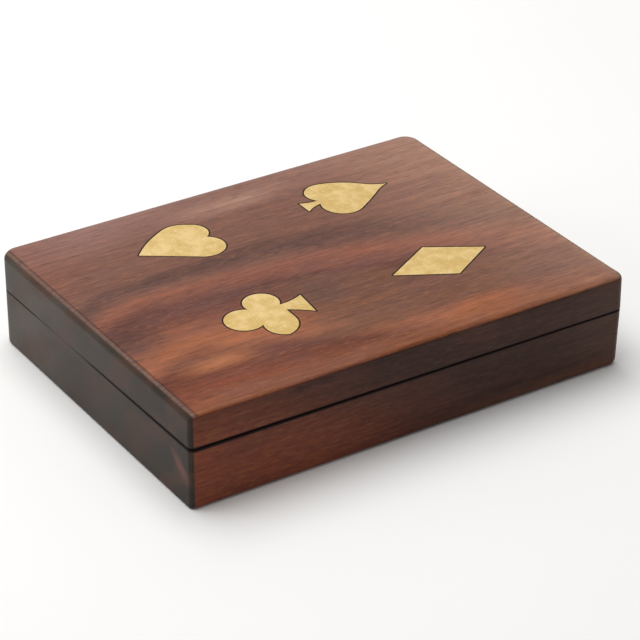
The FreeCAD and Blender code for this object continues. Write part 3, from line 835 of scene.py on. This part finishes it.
def eased(node, body, finish, width):
    """A CAD piece as it leaves the bench: the same shape with its sharp edges taken off."""
    bm = bmesh.new()
    bm.from_mesh(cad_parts[node].data)
    bmesh.ops.remove_doubles(bm, verts=bm.verts, dist=1e-6)
    bmesh.ops.dissolve_limit(bm, angle_limit=math.radians(1), verts=bm.verts, edges=bm.edges)
    mesh = bpy.data.meshes.new(f"{node}_finished")
    bm.to_mesh(mesh)
    bm.free()
    for face in mesh.polygons:
        face.use_smooth = True
    mesh.set_sharp_from_angle(angle=math.radians(35))
    mesh.materials.clear()
    mesh.materials.append(finish.material)
    piece = bpy.data.objects.new(f"{node}_finished", mesh)
    bpy.context.scene.collection.objects.link(piece)
    bevel = piece.modifiers.new("sanded_edges", "BEVEL")
    bevel.width = width * MM
    bevel.segments = 2
    bevel.limit_method = "ANGLE"
    bevel.angle_limit = math.radians(40)
    even = piece.modifiers.new("even_shading", "WEIGHTED_NORMAL")
    even.keep_sharp = False
    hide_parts(node)
    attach(piece, body)


wood_along_y = planed_wood("planed_wood_lengthways", "Y")
wood_along_x = planed_wood("planed_wood_crossways", "X")
eased("chip_board", "base", wood_along_y, 0.4)
eased("long_divider", "base", wood_along_y, 0.4)
eased("deck_divider", "base", wood_along_x, 0.4)


# ---------------------------------------------------------------- hinges
# Two small butt hinges of stamped brass, let into the back rims so that their barrels lie in the
# groove between lid and base. Each turns on a steel pin.

hinge_brass = Finish("rolled_brass", Metallic=1.0)
hinge_place = hinge_brass.millimetres()[-1]
rolling = hinge_brass.noise(hinge_brass.stretched(hinge_place, (0.3, 6.0, 6.0)), detail=3.0)
tarnish = hinge_brass.noise(hinge_place, scale=0.25, detail=3.0)
hinge_tone = hinge_brass.mixed(tarnish.rise(0.4, 0.7), swatch(222, 184, 104), swatch(176, 134, 70))
hinge_brass.feed("Base Color", hinge_tone)
hinge_brass.feed("Roughness", rolling.rise(0.3, 0.7, 0.22, 0.4))
hinge_brass.relief(rolling, 0.00001)
for side in ("left", "right"):
    eased(f"{side}_hinge_base_leaf", "base", hinge_brass, 0.12)
    eased(f"{side}_hinge_lid_leaf", "lid", hinge_brass, 0.12)

steel = Finish("drawn_steel", Metallic=1.0)
steel_place = steel.millimetres()[-1]
drawing = steel.noise(steel.stretched(steel_place, (0.2, 5.0, 5.0)), detail=2.0)
steel.feed("Base Color", steel.mixed(drawing.rise(0.3, 0.7), (0.42, 0.42, 0.43), (0.58, 0.58, 0.6)))
steel.feed("Roughness", drawing.rise(0.3, 0.7, 0.25, 0.4))
for side in ("left", "right"):
    give(f"{side}_hinge_pin", steel)


# ---------------------------------------------------------------- hinge screws
# Twelve small slotted countersunk brass screws, three to a leaf, each driven home to a different
# turn of its slot.

SCREW_SPACING = 10.0
SCREW_XS = [hinge_x + SCREW_SPACING * place for hinge_x in HINGE_XS for place in (-1, 0, 1)]
SCREW_Y = HINGE_AXIS.y - 3.8
HEAD_RADIUS, SHANK_RADIUS = 1.6, 0.8
SCREW_LENGTH = 8.0
SLOT_WIDTH = 0.4
HEAD_SINK = 0.05


def screw_tree():
    """A node tree that sets one slotted screw on each point, pointing down into the wood."""
    tree = bpy.data.node_groups.new("slotted_screws", "GeometryNodeTree")
    tree.interface.new_socket("Geometry", in_out="INPUT", socket_type="NodeSocketGeometry")
    tree.interface.new_socket("Geometry", in_out="OUTPUT", socket_type="NodeSocketGeometry")
    for label in ("Head Radius", "Shank Radius", "Length", "Slot Width", "Tip Up"):
        tree.interface.new_socket(label, in_out="INPUT", socket_type="NodeSocketFloat")
    tree.interface.new_socket("Material", in_out="INPUT", socket_type="NodeSocketMaterial")
    given = tree.nodes.new("NodeGroupInput").outputs

    def add(kind, settings, sockets, out=0):
        node = tree.nodes.new(kind)
        for label, setting in settings.items():
            setattr(node, label, setting)
        for label, value in sockets.items():
            if isinstance(value, bpy.types.NodeSocket):
                tree.links.new(value, node.inputs[label])
            else:
                node.inputs[label].default_value = value
        return node.outputs[out]

    def sum_of(operation, first, second):
        return add("ShaderNodeMath", {"operation": operation}, {0: first, 1: second})

    def moved(geometry, x=0.0, y=0.0, z=0.0):
        place = add("ShaderNodeCombineXYZ", {}, {"X": x, "Y": y, "Z": z})
        return add("GeometryNodeTransform", {}, {"Geometry": geometry, "Translation": place})

    head_depth = sum_of("SUBTRACT", given["Head Radius"], given["Shank Radius"])
    head = add("GeometryNodeMeshCone", {}, {
        "Vertices": 24,
        "Radius Top": given["Head Radius"],
        "Radius Bottom": given["Shank Radius"],
        "Depth": head_depth,
    })
    head = moved(head, z=sum_of("MULTIPLY", head_depth, -1.0))
    slot_size = add("ShaderNodeCombineXYZ", {}, {
        "X": sum_of("MULTIPLY", given["Head Radius"], 2.4),
        "Y": given["Slot Width"],
        "Z": head_depth,
    })
    slot = add("GeometryNodeMeshCube", {}, {"Size": slot_size})
    cut = add("GeometryNodeMeshBoolean", {"operation": "DIFFERENCE", "solver": "EXACT"}, {0: head, 1: slot})
    shank_length = sum_of("SUBTRACT", given["Length"], head_depth)
    shank = add("GeometryNodeMeshCone", {}, {
        "Vertices": 16,
        "Radius Top": given["Shank Radius"],
        "Radius Bottom": sum_of("MULTIPLY", given["Shank Radius"], 0.35),
        "Depth": shank_length,
    })
    shank = moved(shank, z=sum_of("MULTIPLY", given["Length"], -1.0))
    join = tree.nodes.new("GeometryNodeJoinGeometry")
    tree.links.new(cut, join.inputs[0])
    tree.links.new(shank, join.inputs[0])
    slot_turn = add("FunctionNodeRandomValue", {"data_type": "FLOAT"}, {2: 0.0, 3: math.pi, "Seed": 7}, out=1)
    aim_at = add("ShaderNodeCombineXYZ", {}, {"X": given["Tip Up"], "Z": slot_turn})
    standing = add("GeometryNodeInstanceOnPoints", {}, {
        "Points": given["Geometry"],
        "Instance": join.outputs[0],
        "Rotation": aim_at,
    })
    real = add("GeometryNodeRealizeInstances", {}, {"Geometry": standing})
    coated = add("GeometryNodeSetMaterial", {}, {"Geometry": real, "Material": given["Material"]})
    tree.links.new(coated, tree.nodes.new("NodeGroupOutput").inputs[0])
    return tree


def screws(tree, body, head_z, tip_up):
    """The six screws of one body as one plain mesh."""
    points = bpy.data.meshes.new("screw_places")
    points.from_pydata([(x * MM, SCREW_Y * MM, head_z * MM) for x in SCREW_XS], [], [])
    maker = bpy.data.objects.new("screw_maker", points)
    bpy.context.scene.collection.objects.link(maker)
    modifier = maker.modifiers.new("screws", "NODES")
    modifier.node_group = tree
    sizes = {
        "Head Radius": HEAD_RADIUS * MM,
        "Shank Radius": SHANK_RADIUS * MM,
        "Length": SCREW_LENGTH * MM,
        "Slot Width": SLOT_WIDTH * MM,
        "Tip Up": tip_up,
        "Material": hinge_brass.material,
    }
    for socket in tree.interface.items_tree:
        if socket.name in sizes:
            modifier[socket.identifier] = sizes[socket.name]
    maker.update_tag()
    graph = bpy.context.evaluated_depsgraph_get()
    made = bpy.data.meshes.new_from_object(maker.evaluated_get(graph))
    bpy.data.objects.remove(maker)
    made.name = f"{body}_slotted_screws"
    piece = bpy.data.objects.new(made.name, made)
    bpy.context.scene.collection.objects.link(piece)
    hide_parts(f"{body}_hinge_screws")
    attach(piece, body)


screw_shapes = screw_tree()
screws(screw_shapes, "base", SEAM - HEAD_SINK, 0.0)
screws(screw_shapes, "lid", SEAM + HEAD_SINK, math.pi)
